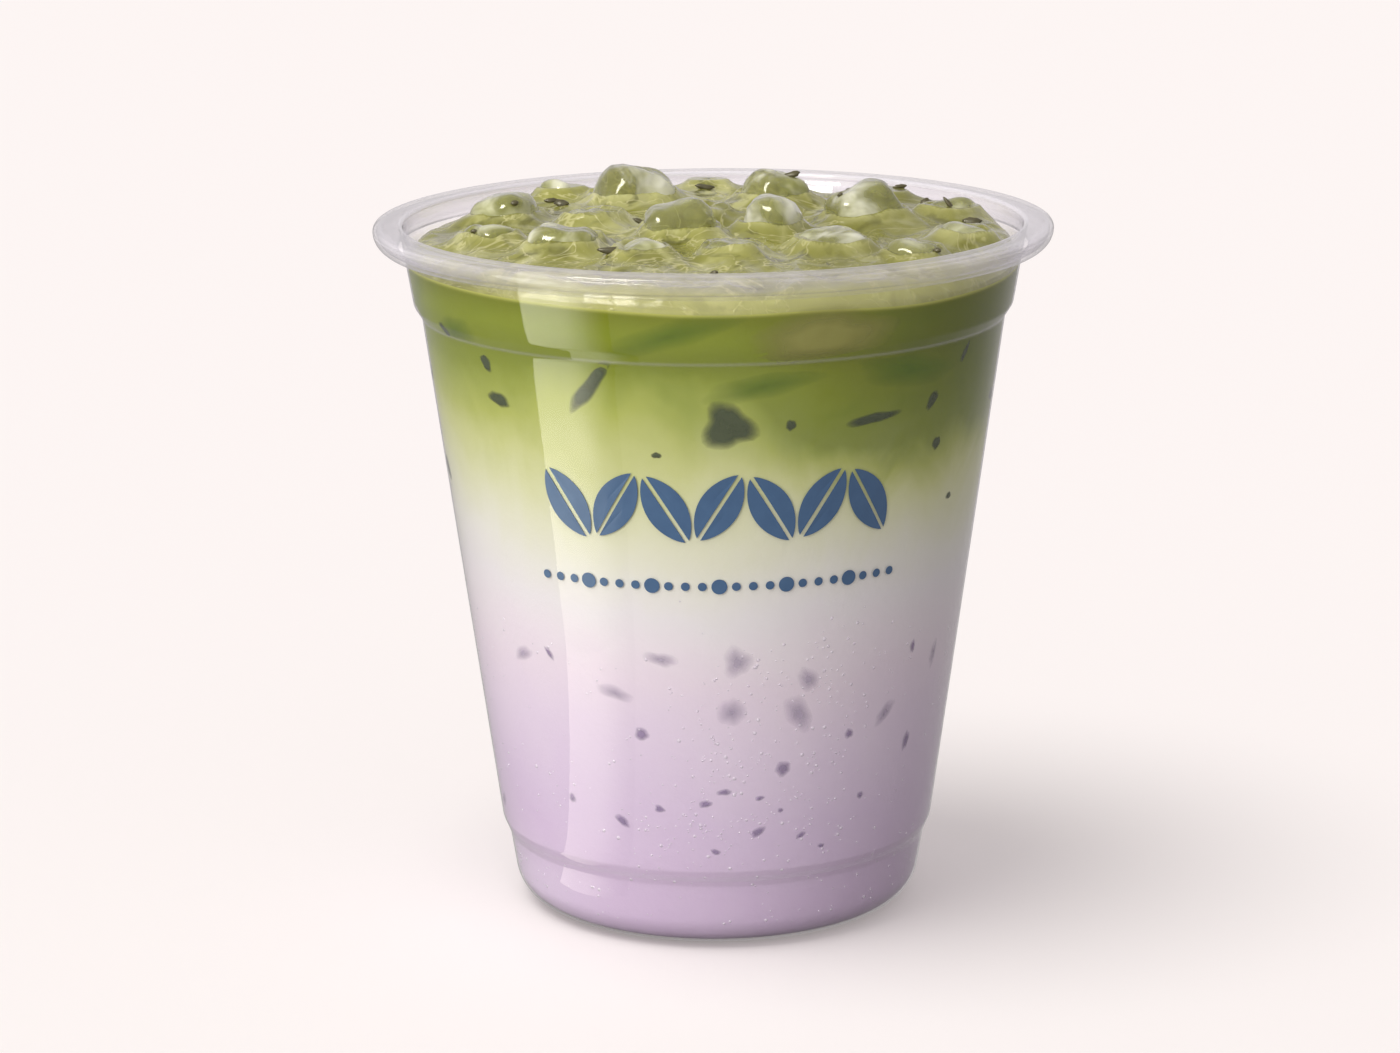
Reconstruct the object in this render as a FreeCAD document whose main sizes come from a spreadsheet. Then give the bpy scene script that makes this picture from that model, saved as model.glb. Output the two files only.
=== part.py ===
import FreeCAD, Part

# An iced layered latte in a clear thermoformed cold cup, open at the top.
#
# The cup is one thin wall turned about the Z axis: a recessed base with a narrow ring to stand on,
# a soft heel, a short foot, a small step, a long tapered wall, a second step, a band and a lip that
# curls over, out and back under itself. One form, the inside, hollows the cup and also shapes the
# three drinks that fill it, so every layer seats on the wall and on the layer below.
# Purple milk lies at the bottom, pale milk over it and matcha on top. Half-melted lumps of ice
# break the matcha's uneven surface, and the matcha is cut round each of them. The real lumps lie
# clear of each other and of the wall. Where other sizes crowd them, each is cut to its room.
#
# Millimetres, +Z up, with the origin on the table under the middle of the cup.

import math
import os

import Sketcher

NAME = "layered_latte"

# Driving dimensions. Every radius follows from the rim and every upper height from the cup's own.
SIZES = {
    "cup_height": 100.9,        # table to the top of the lip
    "rim_radius": 49.0,         # outside of the lip
    "wall": 0.55,               # sheet thickness of wall and lip
    "floor": 0.7,               # sheet thickness of the base
    "lip_reach": 3.8,           # how far the lip stands out from the wall
    "lip_edge_round": 0.9,      # upper outer corner of the lip
    "lip_curl_round": 2.6,      # the curl under that corner
    "lip_tail": 1.0,            # flat end of the curl, turned back towards the wall
    "mouth_round": 0.5,         # inner edge that the lips touch
    "band_depth": 11.5,         # lip's top to the foot of the band
    "band_lean": 1.85,          # how much the band narrows downwards
    "shoulder_step": 1.15,      # inward step under the band
    "shoulder_fall": 1.8,       # height of that step
    "shoulder_round": 1.5,      # rounding of both its corners
    "wall_lean": 10.35,         # how much the long wall narrows downwards
    "foot_height": 10.0,        # table to the underside of the lower step
    "foot_fall": 2.5,           # height of the lower step
    "foot_step": 1.05,          # inward step above the foot
    "foot_round": 2.0,          # rounding of both its corners
    "foot_lean": 1.6,           # how much the foot narrows downwards
    "heel_round": 5.3,          # corner between foot and base
    "stand_inset": 6.6,         # foot's corner to the inner edge of the standing ring
    "base_lift": 2.4,           # how far the base is raised inside that ring
    "base_slope": 1.6,          # how much the raised base narrows
    "purple_level": 47.0,       # top of the purple milk
    "pale_level": 63.0,         # top of the pale milk
    "headspace": 5.9,           # lip's top to the matcha's edge on the wall
    "mound_rise": 3.0,          # how far the slush stands up in the middle
    "mound_back": 5.0,          # how far behind the axis its middle lies
    "ripple": 0.45,             # half height of the waves on the surface
    "ice_size": 12.0,           # side of a common lump
    "ice_depth": 11.0,          # its height
    "ice_taper": 1.3,           # how far each side leans in towards the top
    "ice_round": 3.2,           # melted edges of a common lump, as far down as it is wet
}

# Lumps that break the surface. Across (+X) and back (+Y) are shares of the mouth's radius, rise is
# the top's height over the matcha's edge and the next two are length and breadth, all three in
# lump sizes, and then come the turn about Z and the lean in degrees.
LUMPS = (
    (-0.24, 0.57, 0.80, 1.14, 1.00, 20, 12),
    (-0.69, 0.26, 0.66, 0.90, 0.92, -25, -10),
    (-0.50, 0.72, 0.54, 0.58, 0.62, 40, 16),
    (-0.12, -0.06, 0.74, 1.02, 0.88, 8, -8),
    (0.22, 0.55, 0.74, 0.88, 0.86, 35, 9),
    (0.21, 0.00, 0.72, 0.80, 0.78, -18, 14),
    (0.47, 0.15, 0.78, 0.96, 0.84, 24, -15),
    (-0.46, -0.30, 0.62, 0.96, 0.84, -12, 8),
    (-0.70, -0.13, 0.52, 0.74, 0.78, 30, 12),
    (0.77, 0.24, 0.54, 0.82, 0.80, -35, -9),
    (0.81, -0.16, 0.50, 0.76, 0.74, 15, 10),
    (-0.24, -0.44, 0.46, 0.74, 0.70, 28, -12),
    (0.07, -0.41, 0.48, 0.82, 0.76, -20, 7),
    (0.36, -0.30, 0.54, 0.94, 0.84, 12, -11),
    (0.63, -0.44, 0.48, 0.74, 0.70, -30, 9),
    (-0.38, 0.16, 0.50, 0.82, 0.84, -40, 10),
    (0.55, 0.57, 0.50, 0.84, 0.80, 18, -12),
    (0.00, 0.84, 0.44, 0.66, 0.60, 6, 10),
    (-0.02, 0.28, 0.46, 0.80, 0.76, -30, 8),
)

GRID_STEPS = 10                 # spans of the net that the matcha's surface is drawn through

doc = FreeCAD.newDocument(NAME)


def fill_sheet():
    """Write the sizes to the spreadsheet, one row each, with a word alias."""
    sheet = doc.addObject("Spreadsheet::Sheet", "Sizes")
    for row, (alias, value) in enumerate(SIZES.items(), start=1):
        sheet.set("A%d" % row, alias)
        sheet.set("B%d" % row, str(value))
        sheet.setAlias("B%d" % row, alias)
    doc.recompute()


def size(alias):
    """A size as the spreadsheet holds it."""
    return float(getattr(doc.Sizes, alias))


def formula(terms):
    """Sheet expression for a sum of sizes, where a leading minus takes one away."""
    words = []
    for term in terms:
        sign = "-" if term.startswith("-") else "+"
        words.append(sign + " Sizes." + term.lstrip("-"))
    return " ".join(words).lstrip("+ ") if words else "0"


def total(terms):
    """The same sum as a number."""
    return sum(-size(term[1:]) if term.startswith("-") else size(term) for term in terms)


def plus(terms, *others):
    """The sum with more terms, each with its own sign."""
    return tuple(terms) + tuple(others)


# Radii of the cup's outside, from the rim inwards and down, and the heights that go with them.
BAND_TOP = ("rim_radius", "-lip_reach")
BAND_LOW = plus(BAND_TOP, "-band_lean")
SHOULDER = plus(BAND_LOW, "-shoulder_step")
WALL_LOW = plus(SHOULDER, "-wall_lean")
FOOT_TOP = plus(WALL_LOW, "-foot_step")
BASE_CORNER = plus(FOOT_TOP, "-foot_lean")
RECESS = plus(BASE_CORNER, "-stand_inset")
RECESS_TOP = plus(RECESS, "-base_slope")

TABLE = ()
TOP = ("cup_height",)
BAND_FOOT = plus(TOP, "-band_depth")
SHOULDER_FOOT = plus(BAND_FOOT, "-shoulder_fall")
WALL_FOOT = ("foot_height", "foot_fall")
FOOT_UNDER = ("foot_height",)
AXIS = ()


def origin_plane(body, role):
    """The body's own origin plane with this role."""
    return next(feature for feature in body.Origin.OriginFeatures if feature.Role == role)


def draw_outline(body, name, corners):
    """Closed sketch on the XZ plane through (radius, height, bend) corners.

    Radius and height are sums of sizes. Bend is None where a straight line leads on to the next
    corner, or (sum of sizes, side) for an arc, with side +1 where it turns left and -1 right.
    """
    sketch = body.newObject("Sketcher::SketchObject", name)
    sketch.AttachmentSupport = [(origin_plane(body, "XZ_Plane"), "")]
    sketch.MapMode = "FlatFace"
    points = [FreeCAD.Vector(total(radius), total(height), 0) for radius, height, _ in corners]
    ends = []
    for index, (_, _, bend) in enumerate(corners):
        start = points[index]
        end = points[(index + 1) % len(points)]
        if bend is None:
            sketch.addGeometry(Part.LineSegment(start, end), False)
            ends.append((1, 2))
            continue
        terms, side = bend
        chord = end - start
        half = chord.Length / 2
        aside = math.sqrt(max(total(terms) ** 2 - half ** 2, 0.0))
        left = FreeCAD.Vector(-chord.y, chord.x, 0).normalize()
        centre = (start + end) / 2 + left * aside * side
        first, last = (start, end) if side > 0 else (end, start)
        angles = [math.atan2(point.y - centre.y, point.x - centre.x) for point in (first, last)]
        if angles[1] < angles[0]:
            angles[1] += 2 * math.pi
        circle = Part.Circle(centre, FreeCAD.Vector(0, 0, 1), total(terms))
        sketch.addGeometry(Part.ArcOfCircle(circle, angles[0], angles[1]), False)
        ends.append((1, 2) if side > 0 else (2, 1))
    for index, (radius, height, bend) in enumerate(corners):
        following = (index + 1) % len(corners)
        sketch.addConstraint(
            Sketcher.Constraint("Coincident", index, ends[index][1], following, ends[following][0])
        )
        for kind, terms in (("DistanceX", radius), ("DistanceY", height)):
            label = "%s_%d" % ("across" if kind == "DistanceX" else "up", index)
            bound = sketch.addConstraint(
                Sketcher.Constraint(kind, -1, 1, index, ends[index][0], total(terms))
            )
            sketch.renameConstraint(bound, label)
            if terms:
                sketch.setExpression("Constraints." + label, formula(terms))
        if bend is not None:
            label = "bend_%d" % index
            bound = sketch.addConstraint(Sketcher.Constraint("Radius", index, total(bend[0])))
            sketch.renameConstraint(bound, label)
            sketch.setExpression("Constraints." + label, formula(bend[0]))
    doc.recompute()
    return sketch


def turn(body, sketch, name):
    """Solid of revolution of the sketch about the Z axis."""
    feature = body.newObject("PartDesign::Revolution", name)
    feature.Profile = sketch
    feature.ReferenceAxis = (sketch, ["V_Axis"])
    feature.Angle = 360
    body.Tip = feature
    doc.recompute()
    return feature


def ring_edges(shape, rings):
    """Names of the circular edges at the given (radius, height) sums of sizes."""
    names = []
    for radius, height in rings:
        for index, edge in enumerate(shape.Edges, start=1):
            curve = edge.Curve
            if not isinstance(curve, Part.Circle):
                continue
            if abs(curve.Radius - total(radius)) + abs(curve.Center.z - total(height)) < 1e-4:
                names.append("Edge%d" % index)
    return names


def round_rings(body, name, rings, radius):
    """Fillet the rings of the body's tip with a radius that is a sum of sizes."""
    base = body.Tip
    feature = body.newObject("PartDesign::Fillet", name)
    feature.Base = (base, ring_edges(base.Shape, rings))
    feature.setExpression("Radius", formula(radius))
    body.Tip = feature
    doc.recompute()
    return feature


def make_inside():
    """The cup's inside, from its raised floor to past the lip, which hollows it and holds the drinks."""
    body = doc.addObject("PartDesign::Body", "inside")
    shoulder = (plus(SHOULDER, "-wall"), SHOULDER_FOOT)
    band_low = (plus(BAND_LOW, "-wall"), BAND_FOOT)
    wall_low = (plus(WALL_LOW, "-wall"), WALL_FOOT)
    foot_top = (plus(FOOT_TOP, "-wall"), FOOT_UNDER)
    heel = (plus(BASE_CORNER, "-wall"), ("floor",))
    gutter = (plus(RECESS, "wall"), ("floor",))
    raised = (plus(RECESS_TOP, "wall"), ("base_lift", "floor"))
    mouth = plus(BAND_TOP, "-wall")
    corners = [
        (AXIS, ("base_lift", "floor"), None),
        raised + (None,),
        gutter + (None,),
        heel + (None,),
        foot_top + (None,),
        wall_low + (None,),
        shoulder + (None,),
        band_low + (None,),
        (mouth, plus(TOP, "-mouth_round"), (("mouth_round",), -1)),
        (plus(mouth, "mouth_round"), TOP, None),
        (plus(mouth, "mouth_round"), plus(TOP, "mouth_round"), None),
        (AXIS, plus(TOP, "mouth_round"), None),
    ]
    turn(body, draw_outline(body, "inside_outline", corners), "inside_form")
    round_rings(body, "inside_heel", [heel], plus(("heel_round",), "-wall"))
    round_rings(body, "inside_gutter", [gutter, raised], ("base_slope",))
    round_rings(body, "inside_foot_out", [wall_low], plus(("foot_round",), "-wall"))
    round_rings(body, "inside_foot_in", [foot_top], plus(("foot_round",), "wall"))
    round_rings(body, "inside_band_out", [band_low], plus(("shoulder_round",), "-wall"))
    round_rings(body, "inside_band_in", [shoulder], plus(("shoulder_round",), "wall"))
    return body


def make_cup(inside):
    """The cup's outside with its curled lip, hollowed by the inside."""
    body = doc.addObject("PartDesign::Body", "outside")
    shoulder = (SHOULDER, SHOULDER_FOOT)
    band_low = (BAND_LOW, BAND_FOOT)
    wall_low = (WALL_LOW, WALL_FOOT)
    foot_top = (FOOT_TOP, FOOT_UNDER)
    heel = (BASE_CORNER, TABLE)
    recess = (RECESS, TABLE)
    recess_top = (RECESS_TOP, ("base_lift",))
    corners = [
        (AXIS, ("base_lift",), None),
        recess_top + (None,),
        recess + (None,),
        heel + (None,),
        foot_top + (None,),
        wall_low + (None,),
        shoulder + (None,),
        band_low + (None,),
        (BAND_TOP, TOP, None),
        (AXIS, TOP, None),
    ]
    turn(body, draw_outline(body, "cup_outline", corners), "cup_form")
    round_rings(body, "heel", [heel], ("heel_round",))
    round_rings(body, "recess_edge", [recess_top], ("wall",))
    round_rings(body, "foot_rounds", [wall_low, foot_top], ("foot_round",))
    round_rings(body, "shoulder_rounds", [band_low, shoulder], ("shoulder_round",))
    turn(body, draw_outline(body, "lip_outline", lip_corners()), "lip_curl")
    cup = doc.addObject("Part::Cut", "cup")
    cup.Base = body
    cup.Tool = inside
    return cup


def lip_corners():
    """Section of the lip: a sheet that runs out from the wall, over its edge and curls back under."""
    root = plus(BAND_TOP, "-wall")
    crown = plus(("rim_radius",), "-lip_edge_round")
    curl = plus(("rim_radius",), "-lip_curl_round")
    tail = plus(curl, "-lip_tail")
    edge_height = plus(TOP, "-lip_edge_round")
    under = plus(edge_height, "-lip_curl_round")
    inner_edge_round = plus(("lip_edge_round",), "-wall")
    inner_curl_round = plus(("lip_curl_round",), "-wall")
    return [
        (root, TOP, None),
        (root, plus(TOP, "-wall"), None),
        (crown, plus(TOP, "-wall"), (inner_edge_round, -1)),
        (plus(("rim_radius",), "-wall"), edge_height, (inner_curl_round, -1)),
        (curl, plus(under, "wall"), None),
        (tail, plus(under, "wall"), None),
        (tail, under, None),
        (curl, under, (("lip_curl_round",), 1)),
        (("rim_radius",), edge_height, (("lip_edge_round",), 1)),
        (crown, TOP, None),
    ]


def make_layer(name, inside, low, high):
    """The drink that fills the inside between two heights, each a sum of sizes."""
    slab = doc.addObject("Part::Cylinder", name + "_slab")
    slab.setExpression("Radius", "Sizes.rim_radius")
    slab.setExpression("Height", "%s - (%s)" % (formula(high), formula(low)))
    slab.setExpression("Placement.Base.z", formula(low))
    layer = doc.addObject("Part::Common", name)
    layer.Base = inside
    layer.Tool = slab
    return layer


def surface_height(across, back):
    """Height of the matcha: near level at the wall, heaped over the ice, with slow waves all over."""
    mouth = total(plus(BAND_TOP, "-wall"))
    share = math.hypot(across, back) / mouth
    heap = min(math.hypot(across, back - size("mound_back")) / mouth, 1.0)
    mound = size("mound_rise") * (1 - heap ** 4)
    angle = math.atan2(back, across)
    waves = math.sin(2 * angle + 0.6) * share + 0.6 * math.sin(5 * angle) * share ** 2
    pitch = size("ice_size") / 2
    swell = math.cos(across / pitch) * math.sin(back / pitch + 0.5) * max(1 - share, 0.0)
    return total(plus(TOP, "-headspace")) + mound + size("ripple") * (waves + swell)


def make_matcha(inside, lumps):
    """The top layer: the inside up to its uneven surface, with every lump of ice cut out of it."""
    body = make_layer("matcha_body", inside, ("pale_level",), TOP)
    span = size("rim_radius")
    rows = []
    for row in range(GRID_STEPS + 1):
        back = span * (2 * row / GRID_STEPS - 1)
        line = []
        for column in range(GRID_STEPS + 1):
            across = span * (2 * column / GRID_STEPS - 1)
            line.append(FreeCAD.Vector(across, back, surface_height(across, back)))
        rows.append(line)
    surface = Part.BSplineSurface()
    surface.interpolate(rows)
    pour = doc.addObject("Part::Feature", "matcha_pour")
    pour.Shape = surface.toShape().extrude(FreeCAD.Vector(0, 0, -size("cup_height")))
    poured = doc.addObject("Part::Common", "matcha_poured")
    poured.Base = body
    poured.Tool = pour
    ice = doc.addObject("Part::Compound", "ice_together")
    ice.Links = lumps
    matcha = doc.addObject("Part::Cut", "matcha")
    matcha.Base = poured
    matcha.Tool = ice
    return matcha


def make_lump(number, across, back, rise, length, breadth, spin, lean):
    """One half-melted lump of ice: a block that narrows upwards, rounded but for its underside."""
    lump = doc.addObject("PartDesign::Body", "lump_%02d" % number)
    block = lump.newObject("PartDesign::AdditiveWedge", "block_%02d" % number)
    for side, share in (("X", length), ("Z", breadth)):
        for sign, ending in (("-", "min"), ("", "max")):
            half = "Sizes.ice_size * %g / 2" % share
            lean_in = "Sizes.ice_taper * %g" % share
            block.setExpression(side + ending, "%s(%s)" % (sign, half))
            block.setExpression(side + "2" + ending, "%s(%s - %s)" % (sign, half, lean_in))
    girth = min(length, breadth)
    block.setExpression("Ymin", "-Sizes.ice_depth * %g" % girth)
    block.setExpression("Ymax", "0")
    lump.Tip = block
    doc.recompute()
    bottom = block.Shape.BoundBox.YMin
    wet = [
        "Edge%d" % index
        for index, edge in enumerate(block.Shape.Edges, start=1)
        if edge.BoundBox.YMax > bottom + size("ice_depth") / 2
    ]
    melt = lump.newObject("PartDesign::Fillet", "melt_%02d" % number)
    melt.Base = (block, wet)
    melt.setExpression("Radius", "Sizes.ice_round * %g" % girth)
    lump.Tip = melt
    lump.Placement = FreeCAD.Placement(FreeCAD.Vector(), FreeCAD.Rotation(spin, lean, 90))
    mouth = formula(plus(BAND_TOP, "-wall"))
    lump.setExpression("Placement.Base.x", "(%s) * %g" % (mouth, across))
    lump.setExpression("Placement.Base.y", "(%s) * %g" % (mouth, back))
    level = formula(plus(TOP, "-headspace"))
    lump.setExpression("Placement.Base.z", "%s + Sizes.ice_size * %g" % (level, rise))
    return lump


def make_room(inside):
    """The space that ice can take: the cup's inside and a column as wide as the mouth above it."""
    column = doc.addObject("Part::Cylinder", "column")
    column.setExpression("Radius", formula(plus(BAND_TOP, "-wall")))
    column.setExpression("Height", "Sizes.cup_height")
    column.setExpression("Placement.Base.z", formula(TOP))
    room = doc.addObject("Part::Fuse", "room")
    room.Base = inside
    room.Tool = column
    return room


def freeze_together(room, lumps):
    """Each lump as far as it lies in the room and clear of the lumps before it."""
    frozen = []
    for number, lump in enumerate(lumps, start=1):
        fitted = doc.addObject("Part::Common", "fitted_%02d" % number)
        fitted.Base = lump
        fitted.Tool = room
        if not frozen:
            fitted.Label = "ice_%02d" % number
            frozen.append(fitted)
            continue
        before = doc.addObject("Part::Compound", "before_%02d" % number)
        before.Links = frozen
        ice = doc.addObject("Part::Cut", "ice_%02d" % number)
        ice.Base = fitted
        ice.Tool = before
        frozen = frozen + [ice]
    return frozen


def check(sub_parts):
    """Stop unless every object computed and every sub-part is one valid solid."""
    for thing in doc.Objects:
        if "Invalid" in thing.State or "Error" in thing.State:
            raise RuntimeError("%s did not compute: %s" % (thing.Name, thing.State))
    for thing in sub_parts:
        shape = thing.Shape
        if shape.isNull() or not shape.isValid() or len(shape.Solids) != 1:
            raise RuntimeError("%s is not one valid solid" % thing.Label)


def main():
    fill_sheet()
    inside = make_inside()
    cup = make_cup(inside)
    lumps = [make_lump(number, *lump) for number, lump in enumerate(LUMPS, start=1)]
    ice = freeze_together(make_room(inside), lumps)
    sub_parts = [
        cup,
        make_layer("purple_milk", inside, ("floor",), ("purple_level",)),
        make_layer("pale_milk", inside, ("purple_level",), ("pale_level",)),
        make_matcha(inside, ice),
    ] + ice
    doc.recompute()
    check(sub_parts)
    os.makedirs("parts", exist_ok=True)
    for thing in sub_parts:
        thing.Shape.exportStep("parts/%s.step" % thing.Label)
        box = thing.Shape.BoundBox
        print("%-12s %9.1f mm3  z %.2f to %.2f" % (thing.Label, thing.Shape.Volume, box.ZMin, box.ZMax))


main()
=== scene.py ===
import math
import random

import bpy
import numpy as np
from mathutils import Matrix, Vector, noise
from mathutils.bvhtree import BVHTree


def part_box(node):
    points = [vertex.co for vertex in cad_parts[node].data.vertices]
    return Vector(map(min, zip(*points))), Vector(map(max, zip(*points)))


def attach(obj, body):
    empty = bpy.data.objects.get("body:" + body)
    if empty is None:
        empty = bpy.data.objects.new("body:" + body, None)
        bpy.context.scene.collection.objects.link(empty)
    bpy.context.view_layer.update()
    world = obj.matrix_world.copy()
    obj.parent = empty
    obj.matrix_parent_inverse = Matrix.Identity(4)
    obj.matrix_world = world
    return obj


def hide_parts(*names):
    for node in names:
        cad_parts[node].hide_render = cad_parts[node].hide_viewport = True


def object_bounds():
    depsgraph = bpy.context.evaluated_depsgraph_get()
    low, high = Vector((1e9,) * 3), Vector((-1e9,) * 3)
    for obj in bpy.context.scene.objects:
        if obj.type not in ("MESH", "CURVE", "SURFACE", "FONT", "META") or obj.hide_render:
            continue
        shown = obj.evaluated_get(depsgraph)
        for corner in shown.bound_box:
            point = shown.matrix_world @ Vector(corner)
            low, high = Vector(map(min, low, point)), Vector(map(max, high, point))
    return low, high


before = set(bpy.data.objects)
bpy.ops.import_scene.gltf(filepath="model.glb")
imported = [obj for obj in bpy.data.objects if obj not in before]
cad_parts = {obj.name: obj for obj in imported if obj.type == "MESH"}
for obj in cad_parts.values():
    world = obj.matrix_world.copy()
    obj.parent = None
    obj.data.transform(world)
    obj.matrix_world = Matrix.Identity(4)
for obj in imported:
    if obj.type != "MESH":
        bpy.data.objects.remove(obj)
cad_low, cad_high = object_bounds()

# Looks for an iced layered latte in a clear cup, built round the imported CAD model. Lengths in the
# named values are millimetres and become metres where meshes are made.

MM = 0.001
scene = bpy.context.scene


# ---------------- sizes

RIM, _, TOP = np.array(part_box("cup")[1]) / MM
PURPLE_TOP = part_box("purple_milk")[1][2] / MM
PALE_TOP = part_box("pale_milk")[1][2] / MM

WALL = 0.55           # sheet thickness
HEADSPACE = 5.9       # lip's top to the matcha's line on the wall
LIP_REACH = 3.8       # how far the lip stands out from the wall
LIP_CURL = 2.6        # outer radius of the lip's curl
LIP_EDGE = 0.9        # rounding of the lip's outer edge, and depth of the curl's centre
BAND_LEAN = 1.85      # how much the band under the lip narrows
SHOULDER_STEP = 1.15  # inward step under the band
WALL_LEAN = 10.35     # how much the long wall narrows
FOOT_STEP = 1.05      # inward step above the foot
FOOT_LEAN = 1.6       # how much the foot narrows
STAND_INSET = 6.6     # foot's corner to the inner edge of the standing ring
BASE_SLOPE = 1.6      # how much the raised base narrows
BAND_DEPTH = 11.5     # lip's top to the foot of the band
SHOULDER_FALL = 1.8   # height of the step under it

BAND_TOP_R = RIM - LIP_REACH
BAND_LOW_R = BAND_TOP_R - BAND_LEAN
SHOULDER_R = BAND_LOW_R - SHOULDER_STEP
WALL_LOW_R = SHOULDER_R - WALL_LEAN
FOOT_TOP_R = WALL_LOW_R - FOOT_STEP
CORNER_R = FOOT_TOP_R - FOOT_LEAN
RECESS_R = CORNER_R - STAND_INSET
RECESS_TOP_R = RECESS_R - BASE_SLOPE
MOUTH_R = BAND_TOP_R - WALL
BAND_Z = TOP - BAND_DEPTH
SHOULDER_Z = BAND_Z - SHOULDER_FALL
WALL_LOW_Z = 12.5
FOOT_TOP_Z = 10.0
BASE_Z = 2.4
FLOOR_Z = 0.7
EDGE_LEVEL = TOP - HEADSPACE

INTO_WALL = 0.36      # how far the drinks reach into the clear wall
TURNS = 640           # vertices round the drinks
CUP_TURNS = 336       # vertices round the cup


def srgb(red, green, blue):
    """Linear colour of an sRGB one given in 0 to 255."""
    out = []
    for value in (red, green, blue):
        share = value / 255
        out.append(share / 12.92 if share <= 0.04045 else ((share + 0.055) / 1.055) ** 2.4)
    return tuple(out) + (1.0,)


# ---------------- shader helper


class Shade:
    """The node tree of a new material, or of a world, with short calls for the nodes used here."""

    def __init__(self, name, world=None):
        self.data = world or bpy.data.materials.new(name)
        self.data.use_nodes = True
        self.tree = self.data.node_tree
        self.tree.nodes.clear()
        self.out = self.add("ShaderNodeOutputWorld" if world else "ShaderNodeOutputMaterial")

    def add(self, kind, **values):
        """New node; values set sockets by name, or link them if given a socket."""
        node = self.tree.nodes.new(kind)
        for key, value in values.items():
            self.put(node, key.replace("_", " "), value)
        return node

    def put(self, node, key, value):
        socket = node.inputs[int(key)] if key.isdigit() else node.inputs[key]
        if isinstance(value, bpy.types.NodeSocket):
            self.tree.links.new(value, socket)
        else:
            socket.default_value = value

    def math(self, operation, first, second=0.0, clamp=False):
        node = self.tree.nodes.new("ShaderNodeMath")
        node.operation = operation
        node.use_clamp = clamp
        self.put(node, "0", first)
        self.put(node, "1", second)
        return node.outputs[0]

    def times(self, first, second):
        return self.math("MULTIPLY", first, second)

    def ramp(self, factor, stops, kind="EASE"):
        """Colour ramp; stops are (position, colour) or (position, grey)."""
        node = self.tree.nodes.new("ShaderNodeValToRGB")
        node.color_ramp.interpolation = kind
        ends = node.color_ramp.elements
        while len(ends) < len(stops):
            ends.new(0.5)
        for element, (position, colour) in zip(ends, stops):
            element.position = position
            element.color = colour if isinstance(colour, tuple) else (colour, colour, colour, 1.0)
        self.put(node, "Fac", factor)
        return node.outputs["Color"]

    def noise(self, scale, detail=3.0, rough=0.5, vector=None, warp=0.0, stretch=None):
        """Noise in the object's own metres; stretch scales its axes."""
        place = vector or self.place()
        if stretch:
            place = self.add("ShaderNodeMapping", Vector=place, Scale=stretch).outputs[0]
        values = {"Scale": scale, "Detail": detail, "Roughness": rough, "Distortion": warp}
        return self.add("ShaderNodeTexNoise", Vector=place, **values).outputs["Fac"]

    def place(self):
        return self.add("ShaderNodeTexCoord").outputs["Object"]

    def axis(self, name, vector):
        return self.add("ShaderNodeSeparateXYZ", Vector=vector).outputs[name]

    def mix(self, factor, first, second, blend="MIX"):
        node = self.tree.nodes.new("ShaderNodeMix")
        node.data_type = "RGBA"
        node.blend_type = blend
        self.put(node, "0", factor)
        self.put(node, "6", first)
        self.put(node, "7", second)
        return node.outputs[2]

    def over(self, colour, tone, amount, share):
        """An sRGB tone laid over a colour by an amount times a share."""
        return self.mix(self.times(amount, share), colour, srgb(*tone))

    def blend(self, factor, first, second):
        """Mix Shader of two shader sockets."""
        node = self.tree.nodes.new("ShaderNodeMixShader")
        self.put(node, "0", factor)
        self.tree.links.new(first, node.inputs[1])
        self.tree.links.new(second, node.inputs[2])
        return node.outputs[0]

    def bump(self, height, distance, strength=1.0, normal=None):
        node = self.add("ShaderNodeBump", Height=height, Distance=distance, Strength=strength)
        if normal is not None:
            self.put(node, "Normal", normal)
        return node.outputs[0]

    def attribute(self, name):
        node = self.tree.nodes.new("ShaderNodeAttribute")
        node.attribute_name = name
        return node.outputs["Fac"]

    def principled(self, **values):
        return self.add("ShaderNodeBsdfPrincipled", **values).outputs[0]

    def finish(self, shader):
        self.tree.links.new(shader, self.out.inputs["Surface"])
        return self.data


# ---------------- mesh helpers


def make_object(name, vertices, faces, material, smooth=True):
    """Mesh object from vertices in millimetres."""
    mesh = bpy.data.meshes.new(name)
    mesh.from_pydata((np.asarray(vertices, float) * MM).tolist(), [], faces)
    mesh.polygons.foreach_set("use_smooth", [smooth] * len(mesh.polygons))
    mesh.materials.append(material)
    thing = bpy.data.objects.new(name, mesh)
    scene.collection.objects.link(thing)
    return thing


def own(thing, slot, *nodes):
    """The piece rides on the one body and stands for these nodes, which it hides. The slot argument
    is not used.
    """
    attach(thing, "root")
    if nodes:
        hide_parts(*nodes)


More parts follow.
